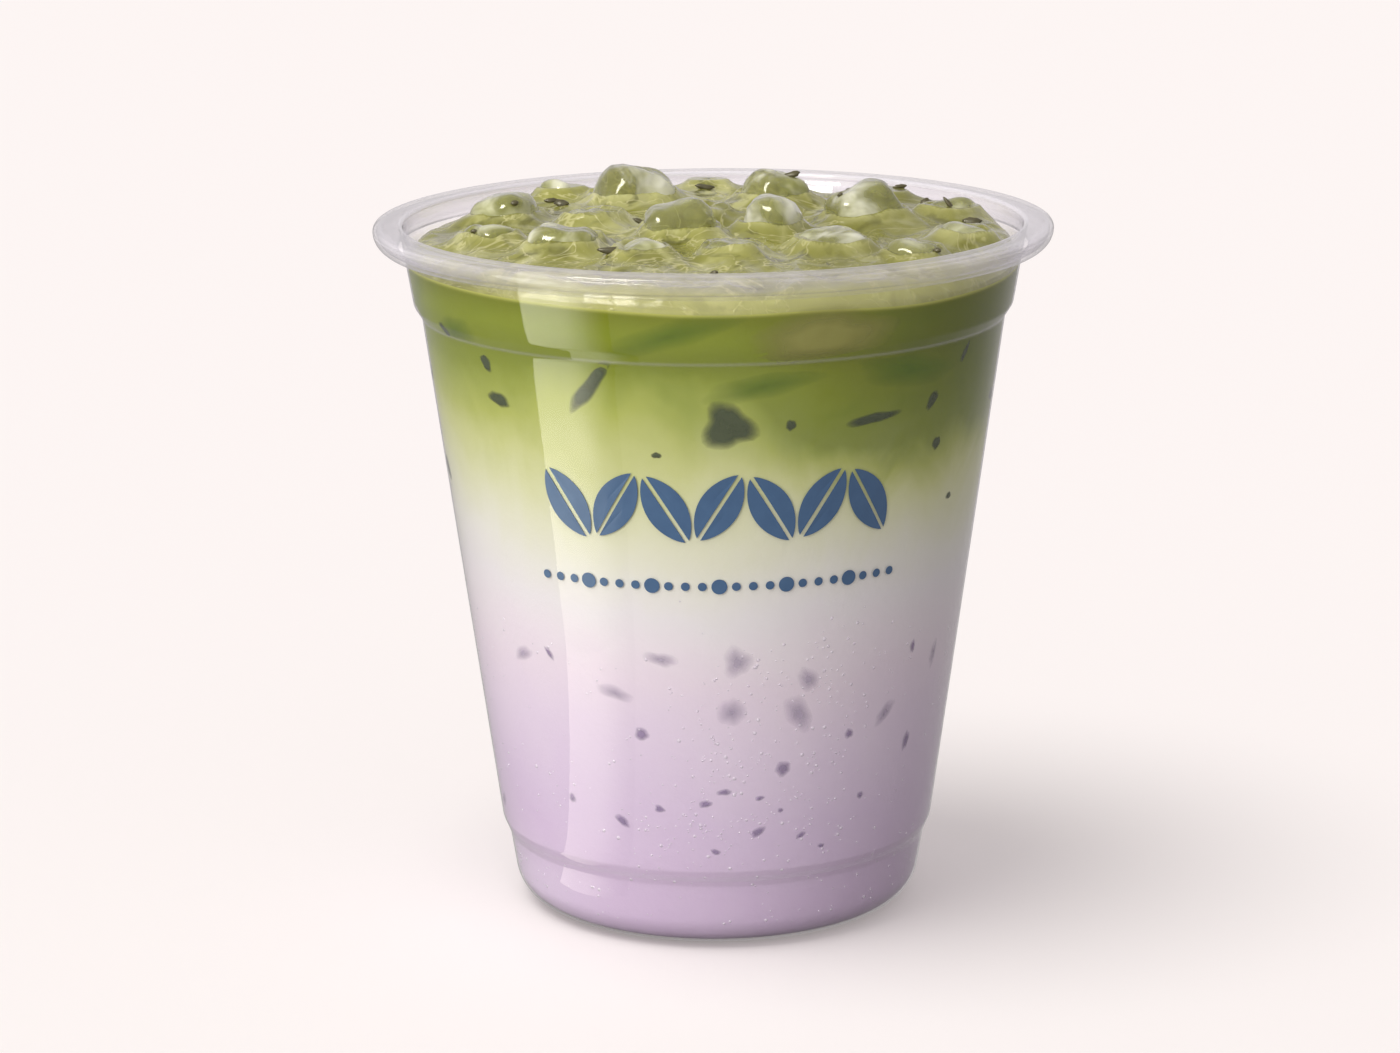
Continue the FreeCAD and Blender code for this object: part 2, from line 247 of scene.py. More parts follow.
def rounded(corners, step=3.0, arc_step=7.0):
    """Points along a section of (radius, height, rounding) corners, split into short runs."""
    points = [np.array(corners[0][:2], float)]

    def run_to(end):
        start = points[-1]
        count = max(1, math.ceil(np.linalg.norm(end - start) / step))
        for index in range(1, count + 1):
            points.append(start + (end - start) * index / count)

    for before, corner, after in zip(corners, corners[1:], corners[2:]):
        here = np.array(corner[:2], float)
        back = np.array(before[:2], float) - here
        ahead = np.array(after[:2], float) - here
        back /= np.linalg.norm(back)
        ahead /= np.linalg.norm(ahead)
        radius = corner[2]
        if radius <= 0:
            run_to(here)
            continue
        half = math.acos(max(-1.0, min(1.0, float(back @ ahead)))) / 2
        reach = radius / math.tan(half)
        middle = back + ahead
        centre = here + middle / np.linalg.norm(middle) * radius / math.sin(half)
        first = here + back * reach
        last = here + ahead * reach
        run_to(first)
        start_angle = math.atan2(*(first - centre)[::-1])
        sweep = math.atan2(*(last - centre)[::-1]) - start_angle
        sweep = (sweep + math.pi) % (2 * math.pi) - math.pi
        count = max(2, math.ceil(abs(math.degrees(sweep)) / arc_step))
        for index in range(1, count + 1):
            angle = start_angle + sweep * index / count
            points.append(centre + radius * np.array((math.cos(angle), math.sin(angle))))
    run_to(np.array(corners[-1][:2], float))
    return np.array(points)


def ring_faces(rings, turns, offset=0):
    """Quads between rings that follow one another."""
    rows = np.arange(rings - 1)[:, None] * turns + offset
    columns = np.arange(turns)[None, :]
    following = (columns + 1) % turns
    above = rows + turns
    quads = (rows + columns, rows + following, above + following, above + columns)
    return np.stack(quads, axis=-1).reshape(-1, 4).tolist()


def turned(radii, heights, turns, low, high):
    """Stacked rings about Z, closed at each end with a point on the axis, at low and high.

    Radii and heights are one number a ring, or one for each of its vertices.
    """
    rings = len(radii)
    angles = np.arange(turns) * 2 * math.pi / turns
    radii, heights = (
        np.broadcast_to(np.asarray(values, float).reshape(rings, -1), (rings, turns))
        for values in (radii, heights)
    )
    places = np.stack((radii * np.cos(angles), radii * np.sin(angles), heights), axis=-1)
    vertices = np.vstack((places.reshape(-1, 3), [[0, 0, low], [0, 0, high]]))
    faces = ring_faces(rings, turns)
    count = rings * turns
    last = count - turns
    for column in range(turns):
        following = (column + 1) % turns
        faces.append([count, following, column])
        faces.append([last + column, last + following, count + 1])
    return vertices, faces


def sharpen(thing, degrees=40):
    """Keep edges with a steep turn crisp in a smooth-shaded mesh."""
    thing.data.set_sharp_from_angle(angle=math.radians(degrees))


# ---------------- sections

INSIDE = [
    (0.0, BASE_Z + FLOOR_Z, 0),
    (RECESS_TOP_R + WALL, BASE_Z + FLOOR_Z, 1.6),
    (RECESS_R + WALL, FLOOR_Z, 1.6),
    (CORNER_R - WALL, FLOOR_Z, 4.75),
    (FOOT_TOP_R - WALL, FOOT_TOP_Z, 2.55),
    (WALL_LOW_R - WALL, WALL_LOW_Z, 1.45),
    (SHOULDER_R - WALL, SHOULDER_Z, 2.05),
    (BAND_LOW_R - WALL, BAND_Z, 0.95),
    (MOUTH_R, TOP, 0.0),
]

OUTSIDE = [
    (0.0, BASE_Z, 0),
    (RECESS_TOP_R, BASE_Z, 0.55),
    (RECESS_R, 0.0, 0.12),
    (CORNER_R, 0.0, 5.3),
    (FOOT_TOP_R, FOOT_TOP_Z, 2.0),
    (WALL_LOW_R, WALL_LOW_Z, 2.0),
    (SHOULDER_R, SHOULDER_Z, 1.5),
    (BAND_LOW_R, BAND_Z, 1.5),
    (BAND_TOP_R, TOP - WALL, 0.15),
    (RIM - WALL, TOP - WALL, 0.45),
]


def curl(radius, low_angle, high_angle, count):
    """Points of the lip's curl about its own centre."""
    centre = np.array((RIM - LIP_CURL, TOP - LIP_EDGE))
    angles = np.radians(np.linspace(low_angle, high_angle, count))
    return centre + radius * np.stack((np.cos(angles), np.sin(angles)), axis=-1)


def cup_section():
    """The cup's whole section, out under the base, up, round the lip and down inside."""
    outer = rounded(OUTSIDE[:-1] + [(RIM - WALL, TOP - WALL, 0)], step=2.5, arc_step=6)[:-1]
    under = curl(LIP_CURL - WALL, 0, -90, 14)
    crown = rounded(
        [(RIM - 1.6, TOP - WALL, 0), (RIM - WALL, TOP - WALL, 0.35), (*under[0], 0)], 1, 15
    )
    tail_r = RIM - LIP_CURL - 1.0
    tail = [(tail_r, TOP - LIP_EDGE - LIP_CURL + WALL), (tail_r, TOP - LIP_EDGE - LIP_CURL)]
    over = curl(LIP_CURL, -90, 0, 18)
    edge = rounded(
        [(*over[-1], 0), (RIM, TOP, LIP_EDGE), (MOUTH_R, TOP, 0.5), (MOUTH_R, TOP - 2, 0)], 0.8, 9
    )
    inner = rounded([tuple(p) for p in INSIDE], step=2.5, arc_step=6)[::-1]
    inner = inner[inner[:, 1] < TOP - 2.1]
    return np.vstack((outer, crown, under[1:], tail, over, edge[1:], inner))


# Both faces of the wall, from the base's corner up, for looking a radius up by height.
INNER_LINE = rounded(INSIDE, step=1.0, arc_step=4)
INNER_LINE = INNER_LINE[np.argmax(INNER_LINE[:, 0] > CORNER_R - WALL - 4.8):]
OUTER_LINE = rounded(OUTSIDE[3:], step=1.0, arc_step=4)


def wall_radius(height):
    """Radius of the cup's inside at a height."""
    return np.interp(height, INNER_LINE[:, 1], INNER_LINE[:, 0])


def outer_radius(height):
    """Radius of the cup's outside at a height."""
    return np.interp(height, OUTER_LINE[:, 1], OUTER_LINE[:, 0])


def pushed(line, amount):
    """The line moved to its right by an amount, which is outwards for a section drawn upwards."""
    along = np.gradient(np.asarray(line, float), axis=0)
    along /= np.linalg.norm(along, axis=1)[:, None]
    return line + amount * np.stack((along[:, 1], -along[:, 0]), axis=-1)


# ---------------- materials

# Drink colours up the front of the cup, as (height in mm, colour).
DRINK = [
    (0.0, (208, 185, 213)),
    (9.0, (215, 192, 219)),
    (20.0, (219, 199, 223)),
    (32.0, (230, 214, 230)),
    (41.0, (237, 223, 232)),
    (47.0, (240, 231, 234)),
    (52.0, (239, 235, 233)),
    (57.5, (237, 236, 222)),
    (63.0, (230, 231, 198)),
    (68.0, (220, 223, 168)),
    (73.0, (206, 211, 136)),
    (79.0, (180, 189, 90)),
    (85.0, (140, 153, 48)),
    (91.0, (138, 151, 34)),
    (96.5, (130, 141, 24)),
]


# The drink's painted shade on its right and its painted light low on its left fade in over this span.
SIDE = 50             # span of the ramps that shade the drink towards a side


def drink_material():
    """The milk and matcha against the wall: one soft change of colour up the cup, clouded, with
    painted shade on the right and under the matcha's line, and painted light low on the left and
    along that line.
    """
    s = Shade("layered_drink")
    place = s.place()
    height = s.math("DIVIDE", s.axis("Z", place), TOP * MM)
    broad = s.noise(34, 3.0, 0.55, place, 0.6)
    wisps = s.noise(95, 4.0, 0.6, place, 1.2, (1.0, 1.0, 0.45))
    shift = s.times(s.math("SUBTRACT", broad, 0.5), 0.13)
    shift = s.math("ADD", shift, s.times(s.math("SUBTRACT", wisps, 0.5), 0.045))
    across = s.axis("X", place)
    lean = s.times(across, 0.35)
    level = s.math("ADD", s.math("ADD", height, shift), lean)
    side = s.math("DIVIDE", across, SIDE * MM)
    # Painted shade: towards the right the colour shifts darker and greener, as if turned away from
    # the light.
    right_shade_shift = s.ramp(side, [(0.02, 0.0), (0.34, 1.0), (0.62, 0.85), (1.0, 0.6)])
    belt = s.ramp(level, [(0.66, 0.0), (0.76, 1.0), (0.90, 0.75), (1.0, 0.4)])
    level = s.math("ADD", level, s.times(s.times(right_shade_shift, belt), 0.10))
    stops = [(z / TOP, srgb(*colour)) for z, colour in DRINK]
    colour = s.ramp(level, stops, "LINEAR")
    cloud = s.noise(150, 5.0, 0.62, place, 0.8)
    green = s.ramp(height, [(0.66, 0.0), (0.86, 1.0)])
    thick = s.math("SUBTRACT", 0.16, s.times(green, 0.13))
    colour = s.over(colour, (244, 240, 236), cloud, thick)
    deep = s.ramp(s.noise(55, 3.0, 0.5, place, 0.4), [(0.5, 0.0), (0.72, 1.0)])
    colour = s.over(colour, (84, 118, 28), s.times(deep, 0.30), green)
    # Painted shade: the matcha darkens further towards the right.
    painted_right_shade = s.ramp(side, [(0.25, 0.0), (0.75, 1.0)])
    colour = s.over(colour, (74, 88, 14), s.times(painted_right_shade, green), 0.5)
    # Painted light: the milk is lightened low down on the left.
    left = s.ramp(s.math("DIVIDE", across, -SIDE * MM), [(0.25, 0.0), (0.6, 1.0)])
    painted_foot_light = s.ramp(height, [(0.05, 0.5), (0.17, 0.0)])
    colour = s.over(colour, (240, 228, 242), left, painted_foot_light)
    # Painted shade just under the matcha's line on the wall, and a painted highlight along the line
    # itself.
    line = s.attribute("edge_highlight")
    shade = s.attribute("edge_shade")
    colour = s.over(colour, (112, 116, 14), shade, 0.36)
    colour = s.over(colour, (206, 208, 108), line, 0.75)
    speck = s.noise(900, 2.0, 0.5, place)
    grain = s.bump(speck, 0.0002, 0.25)
    shader = s.principled(Base_Color=colour, Roughness=0.6, Specular_IOR_Level=0.0, Normal=grain)
    return s.finish(shader)


def slush_material():
    """The wet, half-frozen matcha on top: olive, veiled with milk, with pale threads and gloss,
    painted shade on the right and painted highlights round the ice and beside the wall.
    """
    s = Shade("matcha_slush")
    place = s.place()
    broad = s.noise(52, 3.0, 0.5, place, 0.5)
    colour = s.ramp(broad, [(0.32, srgb(108, 108, 34)), (0.68, srgb(140, 139, 66))], "LINEAR")
    veil = s.ramp(s.noise(110, 4.0, 0.55, place, 1.5), [(0.45, 0.0), (0.7, 1.0)])
    colour = s.over(colour, (192, 190, 134), veil, 0.52)
    dark = s.ramp(s.noise(210, 3.0, 0.55, place, 1.0), [(0.53, 0.0), (0.71, 1.0)])
    colour = s.over(colour, (74, 74, 16), dark, 0.8)
    thread = s.noise(85, 3.0, 0.55, place, 2.2)
    thread = s.math("ABSOLUTE", s.math("SUBTRACT", thread, 0.5))
    thread = s.ramp(thread, [(0.0, 1.0), (0.022, 0.0)])
    colour = s.over(colour, (206, 200, 146), thread, 0.46)
    # Painted shade: the slush darkens towards the right.
    right = s.ramp(s.math("DIVIDE", s.axis("X", place), RIM * MM), [(0.0, 0.0), (0.5, 0.46)])
    colour = s.mix(right, colour, srgb(92, 90, 28))
    # Painted highlight: a lighter rim round each lump of ice.
    near = s.attribute("ice_near")
    colour = s.over(colour, (188, 186, 126), near, 0.4)
    # Painted light: the slush beside the wall is lightened, most at the front, where the lip would
    # shade it.
    front = s.ramp(s.math("DIVIDE", s.axis("Y", place), -RIM * MM), [(0.45, 0.26), (0.9, 0.62)])
    colour = s.over(colour, (204, 205, 124), s.attribute("wall_light"), front)
    ripple = s.bump(s.noise(260, 2.0, 0.5, place, 0.6), 0.0003, 0.5)
    ridge = s.bump(thread, 0.0003, 0.25, ripple)
    shader = s.principled(
        Base_Color=colour, Roughness=0.22, IOR=1.34, Normal=ridge,
        Coat_Weight=0.7, Coat_Roughness=0.08, Coat_IOR=1.33,
    )
    return s.finish(shader)


def cup_material():
    """Clear plastic sheet: a view through with a skin of gloss, milkier in the thick, curled lip,
    with thin painted highlight lines at the foot step and under the band.
    """
    s = Shade("clear_cup")
    place = s.place()
    height = s.axis("Z", place)
    across = s.axis("X", place)
    deep = s.axis("Y", place)
    squares = s.math("ADD", s.math("POWER", across, 2.0), s.math("POWER", deep, 2.0))
    reach = s.math("SQRT", squares)
    out = s.math("DIVIDE", s.math("SUBTRACT", reach, MOUTH_R * MM), (RIM - MOUTH_R) * MM)
    over = s.math("GREATER_THAN", height, (TOP - 3.7) * MM)
    lip = s.ramp(out, [
        (0.16, 0.0), (0.22, 0.06), (0.62, 0.06), (0.80, 0.24), (0.9, 0.12), (1.0, 0.30),
    ])
    mouth = s.ramp(out, [(0.0, 0.34), (0.12, 0.34), (0.2, 0.0)])
    mouth = s.times(mouth, s.math("GREATER_THAN", height, (TOP - 0.62) * MM))
    clearer = s.ramp(s.math("DIVIDE", deep, -RIM * MM), [(0.5, 1.0), (0.92, 0.45)])
    lip = s.math("MAXIMUM", s.times(s.times(lip, over), clearer), mouth)
    level = s.math("DIVIDE", height, TOP * MM)
    # Painted highlight: thin milky lines at the foot step and under the band stand in for light the
    # steps bend.
    steps = s.ramp(level, [
        (0.0, 0.0), (10.7 / TOP, 0.0), (11.2 / TOP, 0.2), (11.7 / TOP, 0.0),
        (SHOULDER_Z / TOP, 0.0), ((SHOULDER_Z + 0.32) / TOP, 0.15),
        ((SHOULDER_Z + 0.66) / TOP, 0.0), (1.0, 0.0),
    ])
    haze = s.noise(60, 4.0, 0.6, place, 0.4, (1.0, 1.0, 0.25))
    milk = s.times(haze, 0.018)
    # The sheet's milky share: the real milk of the lip plus the painted highlight lines at the steps.
    milk = s.math("ADD", milk, s.math("MAXIMUM", lip, steps))
    wave = s.noise(70, 2.0, 0.5, place, 0.0, (1.0, 1.0, 0.35))
    soft = s.bump(wave, 0.0012, 0.12)
    clear = s.add("ShaderNodeBsdfTransparent", Color=(0.985, 0.98, 0.99, 1.0)).outputs[0]
    gloss = s.add("ShaderNodeBsdfGlossy", Color=(1, 1, 1, 1), Roughness=0.035, Normal=soft).outputs[0]
    facing = s.add("ShaderNodeLayerWeight", Blend=0.5, Normal=soft).outputs["Facing"]
    fresnel = s.math("ADD", s.times(s.math("POWER", facing, 5.0), 0.96), 0.036)
    fresnel = s.times(fresnel, s.math("MAXIMUM", clearer, s.math("SUBTRACT", 1.0, over)))
    tone = s.mix(s.noise(40, 2.0, 0.5, place), srgb(240, 236, 244), srgb(248, 245, 250))
    body = s.principled(Base_Color=tone, Roughness=0.3, Normal=soft)
    sheet = s.blend(milk, clear, body)
    return s.finish(s.blend(fresnel, sheet, gloss))


def ice_material():
    """Wet ice under a film of matcha: part clear, part milky green, with white patches that are
    partly frosted hearts and partly painted highlight.
    """
    s = Shade("wet_ice")
    place = s.place()
    # White patches: partly frosted ice, partly painted highlight.
    frost_and_glint = s.ramp(s.noise(120, 3.0, 0.55, place, 0.8), [(0.42, 0.0), (0.74, 1.0)])
    film = s.ramp(s.noise(70, 3.0, 0.5, place, 0.6), [(0.38, 0.0), (0.66, 1.0)])
    tint = s.mix(film, srgb(222, 226, 176), srgb(184, 190, 98))
    ripple = s.bump(s.noise(150, 2.0, 0.5, place, 0.5), 0.0005, 0.35)
    glass = s.principled(
        Base_Color=tint, Roughness=0.05, IOR=1.31, Transmission_Weight=1.0, Normal=ripple,
    )
    veiled = s.principled(
        Base_Color=s.mix(film, srgb(172, 171, 110), srgb(142, 144, 66)), Roughness=0.18,
        Coat_Weight=1.0, Coat_Roughness=0.04, Normal=ripple,
    )
    white = s.principled(
        Base_Color=s.mix(film, srgb(240, 239, 222), srgb(216, 216, 176)), Roughness=0.25,
        Coat_Weight=1.0, Coat_Roughness=0.04, Normal=ripple,
    )
    body = s.blend(s.math("ADD", 0.30, s.times(film, 0.35)), glass, veiled)
    return s.finish(s.blend(s.times(frost_and_glint, 0.78), body, white))


# ---------------- ice


def melted(number, seed):
    """A lump of ice: its CAD block, closely meshed, rounded and worn by melting."""
    name = "ice_%02d" % number
    highest = cad_high[2] / MM - 0.02
    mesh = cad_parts[name].data.copy()
    rough = bpy.data.objects.new("rough", mesh)
    scene.collection.objects.link(rough)
    remesh = rough.modifiers.new("remesh", "REMESH")
    remesh.mode = "VOXEL"
    remesh.voxel_size = 0.42 * MM
    remesh.use_smooth_shade = True
    smooth = rough.modifiers.new("smooth", "SMOOTH")
    smooth.factor = 0.5
    smooth.iterations = 34
    view = rough.evaluated_get(bpy.context.evaluated_depsgraph_get())
    done = bpy.data.meshes.new_from_object(view)
    bpy.data.objects.remove(rough)
    places = np.array([vertex.co for vertex in done.vertices]) / MM
    normals = np.array([vertex.normal for vertex in done.vertices])
    shift = Vector((seed * 17.3, seed * 5.1, seed * 9.7))
    wear = np.array([
        0.80 * noise.noise(Vector(p) / 5.2 + shift)
        + 0.16 * (1 - 2 * abs(noise.noise(Vector(p) / 3.1 - shift)))
        + 0.05 * noise.noise(Vector(p) / 1.3 + shift)
        for p in places
    ])
    places = places + normals * (wear - 0.05)[:, None]
    places[:, 2] = np.minimum(places[:, 2], highest)
    done.vertices.foreach_set("co", (places * MM).ravel())
    done.polygons.foreach_set("use_smooth", [True] * len(done.polygons))
    done.update()
    lump = bpy.data.objects.new(name + "_melted", done)
    scene.collection.objects.link(lump)
    done.materials.clear()
    done.materials.append(ICE)
    own(lump, "ice", name)
    return lump


def make_ice():
    names = sorted(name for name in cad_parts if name.startswith("ice_"))
    return [melted(int(name[-2:]), index + 1) for index, name in enumerate(names)]


def make_cup(material):
    """The cup's section turned about Z, closed where it meets the axis below and inside."""
    section = cup_section()
    radii, heights = section[1:-1].T
    vertices, faces = turned(radii, heights, CUP_TURNS, section[0][1], section[-1][1])
    own(make_object("cup_shell", vertices, faces, material), "cup", "cup")


def tree_of(things):
    """One search tree over the meshes, in millimetres."""
    vertices, faces = [], []
    for thing in things:
        start = len(vertices)
        vertices += [v.co / MM for v in thing.data.vertices]
        faces += [[start + index for index in face.vertices] for face in thing.data.polygons]
    return BVHTree.FromPolygons(vertices, faces)


def clearance(tree, place, reach=6.0):
    """Distance to the ice, negative inside it."""
    spot, normal, _, distance = tree.find_nearest(Vector(place), reach)
    if spot is None:
        return reach
    return -distance if (Vector(place) - spot).dot(normal) < 0 else distance


# ---------------- drinks

# Height of the matcha's line on the wall over its level, by degrees about Z from +X.
EDGE_WAVES = [
    (-180, 0.5), (-152, 0.95), (-129, 0.72), (-112, 0.5), (-90, -0.15), (-69, 0.4), (-56, -0.55),
    (-36, -0.35), (-10, 0.2), (25, 0.6), (60, -0.1), (100, 0.45), (140, 0.1), (180, 0.5),
]

HEAP_FRONT = 3.5      # how far the slush stands above its line on the wall, at the front
HEAP_BACK = 4.7       # and at the back
CLIMB = 2.1           # how far it climbs up a lump of ice
FAR = 9.0             # depth given to what isn't near the line on the wall


def edge_height(angles):
    """The wavy line, smoothed, for angles in radians."""
    knots = np.array(EDGE_WAVES)
    total = 0
    for offset in np.linspace(-9, 9, 7):
        places = (np.degrees(angles) + offset + 180) % 360 - 180
        total = total + np.interp(places, knots[:, 0], knots[:, 1])
    return EDGE_LEVEL + total / 7


def surface(across, back, edge, share):
    """Height of the slush away from the ice: it stands up off the wall and heaps to the back."""
    from_wall = (1 - share) * MOUTH_R
    heap = HEAP_FRONT + (HEAP_BACK - HEAP_FRONT) * np.clip((back + 34) / 62, 0, 1)
    heap = heap - 0.9 * np.exp(-((across + 36) / 11) ** 2)
    waves = np.array([
        0.60 * noise.noise(Vector((x / 7.5, y / 7.5, 1.3)))
        + 0.42 * (1 - 2 * abs(noise.noise(Vector((x / 4.6, y / 4.6, 7.7)))))
        + 0.14 * noise.noise(Vector((x / 1.9, y / 1.9, 3.1)))
        for x, y in zip(across, back)
    ])
    rise = 1 - math.exp(-from_wall / 1.1)
    meniscus = 0.75 * math.exp(-from_wall / 0.5)
    return edge - 0.75 + meniscus + (heap + waves) * rise


def store(thing, name, values):
    data = thing.data.attributes.new(name, "FLOAT", "POINT")
    data.data.foreach_set("value", np.asarray(values, float))


def make_layers():
    """Purple and pale milk: turned solids that reach a little way into the clear wall."""
    line = pushed(rounded(INSIDE, step=2.0, arc_step=5), INTO_WALL)
    line[0] = (0, line[0][1])
    levels = {"purple_milk": (None, PURPLE_TOP), "pale_milk": (PURPLE_TOP, PALE_TOP)}
    for node, (low, high) in levels.items():
        if low is None:
            wall = line[line[:, 1] < high - 0.2][1:]
        else:
            heights = np.arange(low, high - 0.5, 2.0)
            wall = np.stack((wall_radius(heights) + INTO_WALL, heights), axis=-1)
        wall = np.vstack((wall, [(float(wall_radius(high)) + INTO_WALL, high)]))
        vertices, faces = turned(wall[:, 0], wall[:, 1], TURNS, wall[0][1], high)
        thing = make_object(node + "_fill", vertices, faces, DRINK_SIDE)
        sharpen(thing)
        own(thing, node, node)


def make_matcha(tree):
    """Matcha: the wall up to its wavy line, then the slush, which climbs round every lump of ice."""
    angles = np.arange(TURNS) * 2 * math.pi / TURNS
    edge = edge_height(angles)
    radii, heights, depth = [], [], []
    low_shares = np.linspace(0, 0.88, 16)
    edge_shares = np.linspace(0.9, 1.0, 24)
    for share in np.concatenate((low_shares, edge_shares)):
        level = PALE_TOP + (edge - PALE_TOP) * share
        heights.append(level)
        radii.append(wall_radius(level) + INTO_WALL)
        depth.append(edge - level)
    rings = len(radii)
    mouth = radii[-1]
    steps = 110
    shares = 1 - np.arange(1, steps) / steps
    near = [np.zeros(TURNS)] * rings
    for share in shares:
        across = mouth * share * np.cos(angles)
        back = mouth * share * np.sin(angles)
        level = surface(across, back, edge * share + EDGE_LEVEL * (1 - share), share)
        gap = np.array([clearance(tree, p) for p in zip(across, back, level + 0.6)])
        outside = np.maximum(gap, 0)
        climb = CLIMB * np.exp(-outside / 1.7)
        sunk = np.clip((-gap - 0.7) / 1.5, 0, 1) * 1.6
        near.append(np.where(gap > 0, np.exp(-outside / 0.55), 0.0))
        radii.append(mouth * share)
        heights.append(np.minimum(level + climb - sunk, TOP - 0.3 + 2.5 * (1 - share)))
        depth.append(np.full(TURNS, FAR))
    vertices, faces = turned(radii, heights, TURNS, PALE_TOP, float(heights[-1].mean()))
    side_faces = (rings - 1) * TURNS
    count = (len(radii) - 1) * TURNS
    thing = make_object("matcha_fill", vertices, faces, DRINK_SIDE)
    sharpen(thing, 75)
    thing.data.materials.append(SLUSH)
    index = np.zeros(len(faces), int)
    index[side_faces:count] = 1
    index[count + 1::2] = 1
    thing.data.polygons.foreach_set("material_index", index)
    depth = np.concatenate([np.array(depth).ravel(), [FAR, FAR]])
    # Masks for painting: a highlight along the matcha's line on the wall, shade just under it, a
    # highlight round each lump of ice and light beside the wall.
    store(thing, "edge_highlight", np.exp(-((depth - 0.1) / 0.28) ** 2))
    store(thing, "edge_shade", np.where(depth < FAR - 1, np.exp(-(depth / 1.9) ** 2), 0))
    store(thing, "ice_near", np.concatenate([np.array(near).ravel(), [0, 0]]))
    from_wall = float(mouth.mean()) - np.hypot(vertices[:, 0], vertices[:, 1])
    store(thing, "wall_light", np.exp(-(np.maximum(from_wall, 0) / 3.2) ** 2))
    own(thing, "matcha", "matcha")
    return thing


# ---------------- things on the wall


def on_wall(angle, height, radius):
    return np.array((radius * math.cos(angle), radius * math.sin(angle), height))


def dome_faces(start, rings, turns):
    """Faces of a closed dome whose vertices are its top, its rings and the point behind it."""
    first = start + 1
    last = first + (rings - 1) * turns
    back = last + turns
    faces = []
    for step in range(turns):
        after = (step + 1) % turns
        faces.append((start, first + step, first + after))
        faces.append((back, last + after, last + step))
        for ring in range(rings - 1):
            a = first + ring * turns
            faces.append((a + step, a + turns + step, a + turns + after, a + after))
    return faces


def outline(turn, points, pinch, phases):
    """How far the edge of an uneven speck lies from its middle, as a share, at an angle."""
    edge = 1 + pinch * math.cos(points * turn) + 0.07 * math.cos(3 * turn + phases[0])
    return edge + 0.05 * math.cos(5 * turn + phases[1]) + 0.03 * math.cos(7 * turn + phases[2])


def bits(name, specks, material, slot, lift, rings=5, turns=26):
    """Thin lens-shaped bits that lie in the drink against the wall, all in one mesh.

    A speck is (degrees from the front, height, width, length, tilt, points, pinch): points is how
    many corners its outline has and pinch how sharp they are. Its middle stands out by lift from
    the drink's face, its rim is level with it and its back is buried.
    """
    vertices, faces, soft = [], [], []
    rng = random.Random(len(specks))
    for degrees, height, width, length, tilt, points, pinch in specks:
        phases = [rng.uniform(0, 2 * math.pi) for _ in range(3)]
        lean = math.radians(tilt)
        front = math.radians(degrees - 90)
        start = len(vertices)
        face_radius = float(wall_radius(height)) + INTO_WALL
        vertices.append(on_wall(front, height, face_radius + lift))
        soft.append(1.0)
        for ring in range(1, rings + 1):
            share = ring / rings
            for step in range(turns):
                turn = 2 * math.pi * step / turns
                edge = share * outline(turn, points, pinch, phases)
                u = width / 2 * edge * math.cos(turn)
                v = length / 2 * edge * math.sin(turn)
                level = height + u * math.sin(lean) + v * math.cos(lean)
                radius = float(wall_radius(level)) + INTO_WALL + lift * (1 - share ** 2) - 0.004
                angle = front + (u * math.cos(lean) - v * math.sin(lean)) / radius
                vertices.append(on_wall(angle, level, radius))
                soft.append(1 - share)
        vertices.append(on_wall(front, height, face_radius - 0.5))
        soft.append(0.0)
        faces += dome_faces(start, rings, turns)
    thing = make_object(name, vertices, faces, material)
    store(thing, "soft", soft)
    own(thing, slot)


def soft_material(name, dark, light, most, sharp, fine=700):
    """Something seen dimly through the milk: thins out to nothing at its rim."""
    s = Shade(name)
    place = s.place()
    soft = s.attribute("soft")
    grain = s.noise(fine, 4.0, 0.6, place, 0.5)
    colour = s.mix(grain, srgb(*dark), srgb(*light))
    depth = s.math("MULTIPLY", soft, sharp, clamp=True)
    patchy = s.math("ADD", 0.65, s.times(grain, 0.7))
    depth = s.math("MULTIPLY", depth, patchy, clamp=True)
    matt = s.principled(Base_Color=colour, Roughness=0.6, Specular_IOR_Level=0.0)
    clear = s.add("ShaderNodeBsdfTransparent").outputs[0]
    return s.finish(s.blend(s.times(depth, most), clear, matt))


# Dark slivers in the matcha, each a speck as bits() takes it.
SLIVERS = [
    (-24.5, 84.0, 3.0, 9.0, -40, 2, -0.20), (2.4, 79.0, 7.8, 7.0, -6, 3, 0.14),
    (-47.0, 80.4, 4.4, 2.4, -10, 2, 0.10), (-49.5, 85.4, 1.9, 3.4, 35, 2, 0.10),
    (-62.0, 88.6, 1.9, 3.0, 30, 2, 0.05), (14.6, 78.9, 1.6, 1.8, 0, 2, 0.05),
    (32.2, 78.7, 8.8, 1.8, 5, 2, 0.12), (47.5, 79.8, 1.7, 3.8, -38, 2, 0.12),
    (-11.6, 74.8, 1.6, 1.0, 0, 2, 0.05), (50.5, 73.2, 2.0, 2.2, 30, 2, 0.08),
    (57.0, 85.6, 1.1, 4.0, -35, 2, 0.10), (58.0, 64.5, 1.5, 1.2, 0, 2, 0.05),
]


def more_specks(count, seed, low, high, least, most):
    """Specks round the back and sides, at random but out of one another's way."""
    rng = random.Random(seed)
    placed = []
    while len(placed) < count:
        degrees = rng.uniform(75, 285)
        height = rng.uniform(low, high)
        if any(abs(degrees - d) < 9 and abs(height - h) < 6 for d, h, *_ in placed):
            continue
        width = rng.uniform(least, most)
        placed.append((
            degrees, height, width, width * rng.uniform(0.25, 0.7), rng.uniform(-50, 50),
            rng.choice((2, 2, 3)), rng.uniform(0.05, 0.22),
        ))
    return placed


